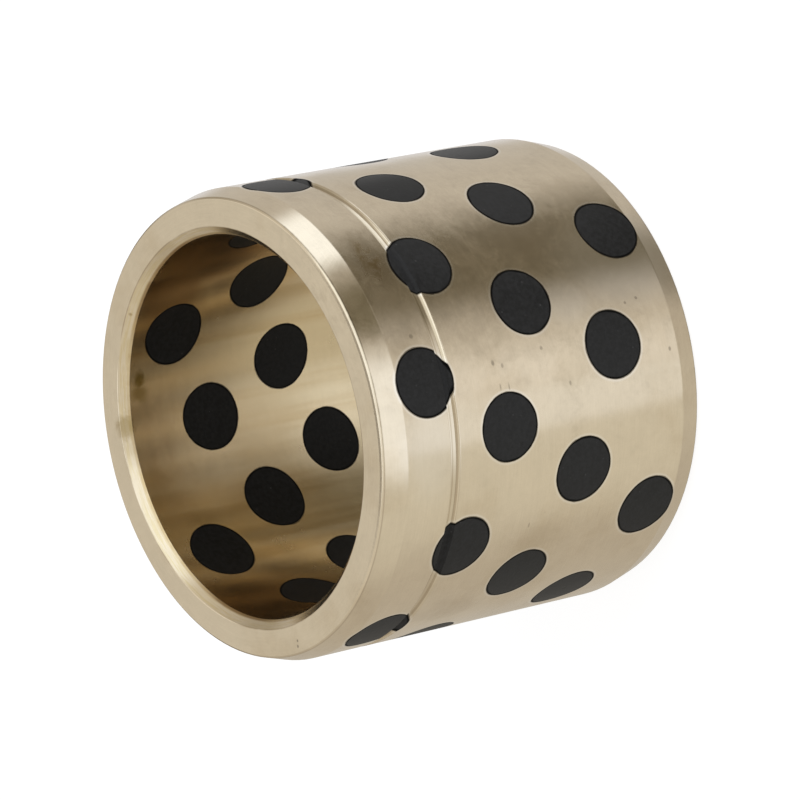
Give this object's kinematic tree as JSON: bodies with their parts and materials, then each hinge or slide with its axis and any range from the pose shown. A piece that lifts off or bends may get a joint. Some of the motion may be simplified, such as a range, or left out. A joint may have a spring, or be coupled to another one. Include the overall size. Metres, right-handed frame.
{
  "type": "graphite plugged bushing",
  "caption": "Plain bronze sleeve bearing with graphite plugs through its wall, a bore chamfer at each end, outer lead-in chamfers and a narrow outer groove.",
  "frame": {"origin": "centre of the rear end face, on the bore's axis, where the bushing stands", "axes": "+Z along the bore's axis from the rear end up to the grooved front end; +X through the first plug of the front ring"},
  "size_m": [0.08, 0.08, 0.068],
  "materials": {
    "bronze": "satin turned bronze",
    "graphite": "matte pressed graphite"
  },
  "bodies": {
    "root": {"bronze_sleeve": "bronze", "graphite_plug_1_1": "graphite", "graphite_plug_1_2": "graphite", "graphite_plug_1_3": "graphite", "graphite_plug_1_4": "graphite", "graphite_plug_1_5": "graphite", "graphite_plug_2_1": "graphite", "graphite_plug_2_2": "graphite", "graphite_plug_2_3": "graphite", "graphite_plug_2_4": "graphite", "graphite_plug_2_5": "graphite", "graphite_plug_3_1": "graphite", "graphite_plug_3_2": "graphite", "graphite_plug_3_3": "graphite", "graphite_plug_3_4": "graphite", "graphite_plug_3_5": "graphite", "graphite_plug_4_1": "graphite", "graphite_plug_4_2": "graphite", "graphite_plug_4_3": "graphite", "graphite_plug_4_4": "graphite", "graphite_plug_4_5": "graphite", "graphite_plug_5_1": "graphite", "graphite_plug_5_2": "graphite", "graphite_plug_5_3": "graphite", "graphite_plug_5_4": "graphite", "graphite_plug_5_5": "graphite", "graphite_plug_6_1": "graphite", "graphite_plug_6_2": "graphite", "graphite_plug_6_3": "graphite", "graphite_plug_6_4": "graphite", "graphite_plug_6_5": "graphite", "graphite_plug_7_1": "graphite", "graphite_plug_7_2": "graphite", "graphite_plug_7_3": "graphite", "graphite_plug_7_4": "graphite", "graphite_plug_7_5": "graphite"}
  },
  "joints": []
}
